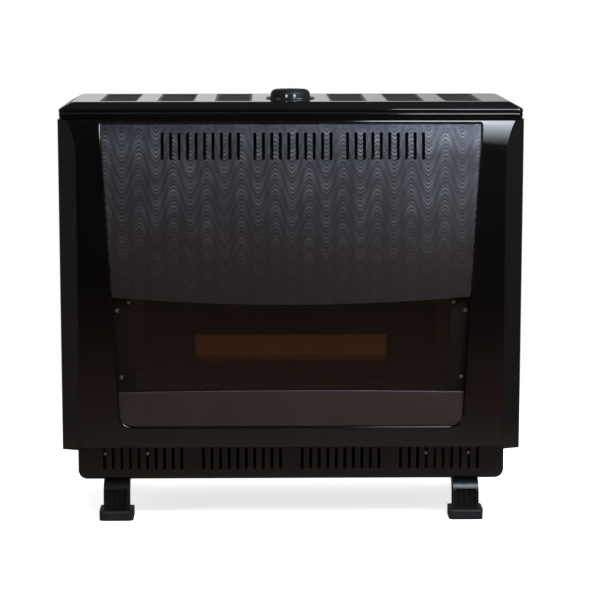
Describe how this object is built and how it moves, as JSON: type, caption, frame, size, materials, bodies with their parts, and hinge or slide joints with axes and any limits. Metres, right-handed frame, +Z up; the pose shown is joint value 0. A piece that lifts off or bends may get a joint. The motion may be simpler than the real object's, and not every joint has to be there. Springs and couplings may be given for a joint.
{
  "type": "gas convector heater",
  "caption": "Floor-standing flued gas convector heater: enamelled casing with slotted textured front, tinted window on the fire box, top air outlets, push-and-turn knob and moulded feet.",
  "frame": {"origin": "middle of the whole part's box, at floor level", "axes": "+X to the right seen from the front, +Y from the front to the back, +Z up"},
  "size_m": [0.7, 0.295, 0.6536],
  "materials": {
    "enamel": "gloss black vitreous enamel",
    "textured_panel": "semi-matte anthracite with a fine embossed wave pattern",
    "apron_enamel": "semi-matte black enamel",
    "satin_black": "satin black paint",
    "tinted_glass": "dark brown tinted heat-resistant glass",
    "pane_glass": "clear ceramic pane",
    "galvanised": "galvanised sheet",
    "zinc_screw": "bright zinc",
    "foot_plastic": "moulded black plastic",
    "knob_plastic": "satin gloss black",
    "bezel_plastic": "satin dark grey",
    "bright_steel": "bright drawn steel",
    "aluminium_cast": "die cast, tumbled",
    "aluminium_tube": "drawn tube",
    "brass": "turned",
    "copper": "drawn copper",
    "lead_sleeve": "silicone sleeve",
    "electrode_ceramic": "glazed white",
    "burner_steel": "stainless, heat tinted",
    "heat_enamel": "heat-resistant matt coating",
    "gasket_fibre": "ceramic fibre",
    "flue_steel": "aluminised sheet"
  },
  "bodies": {
    "casing": {"back_panel": "galvanised", "back_panel_screws": "zinc_screw", "base_plinth": "satin_black", "bulb_clip": "galvanised", "burner_carrier": "galvanised", "burner_pipe": "aluminium_tube", "burner_saddles": "galvanised", "chamber_pane": "pane_glass", "chamber_support_left": "galvanised", "chamber_support_right": "galvanised", "combustion_chamber": "heat_enamel", "control_cradle": "satin_black", "flue_box": "galvanised", "flue_flange_screws": "zinc_screw", "flue_spigot": "flue_steel", "foot_front_left": "foot_plastic", "foot_front_right": "foot_plastic", "foot_rear_left": "foot_plastic", "foot_rear_right": "foot_plastic", "foot_screws": "zinc_screw", "front_surround": "enamel", "gas_inlet_union": "brass", "gas_valve_body": "aluminium_cast", "glass_bracket_left": "satin_black", "glass_bracket_right": "satin_black", "glass_bracket_screws": "zinc_screw", "heat_shield": "heat_enamel", "ignition_electrode": "electrode_ceramic", "ignition_lead": "lead_sleeve", "injector_bracket": "galvanised", "injector_elbow": "brass", "knob_bezel": "bezel_plastic", "knob_spring": "bright_steel", "lower_apron": "apron_enamel", "main_burner": "burner_steel", "pane_gasket": "gasket_fibre", "pilot_bracket": "galvanised", "pilot_burner": "brass", "pilot_tube": "aluminium_tube", "plinth_bracket_left": "heat_enamel", "plinth_bracket_right": "heat_enamel", "plinth_bracket_screws": "zinc_screw", "side_panel_left": "enamel", "side_panel_right": "enamel", "supply_pipe": "bright_steel", "thermocouple": "copper", "thermostat_bulb": "copper", "top_cover": "enamel", "top_grille": "satin_black", "upper_front_panel": "textured_panel", "valve_bonnet": "aluminium_cast", "valve_screws": "zinc_screw", "window_frame": "heat_enamel", "window_frame_screws": "heat_enamel", "window_glass": "tinted_glass"},
    "tap_rotor": {"valve_rotor": "brass"},
    "knob": {"control_knob": "knob_plastic", "knob_spindle": "bright_steel"}
  },
  "joints": [
    {"name": "knob_turn", "type": "hinge", "parent": "casing", "child": "tap_rotor", "pos_m": [0, -0.0225, 0.6], "axis": [0, 0, 1], "range_deg": [0, 270]},
    {"name": "knob_push", "type": "slide", "parent": "tap_rotor", "child": "knob", "axis": [0, 0, -1], "range_m": [0, 0.006], "stiffness_N_per_m": 800, "springref_m": -0.004, "deforming": ["knob_spring"]}
  ]
}
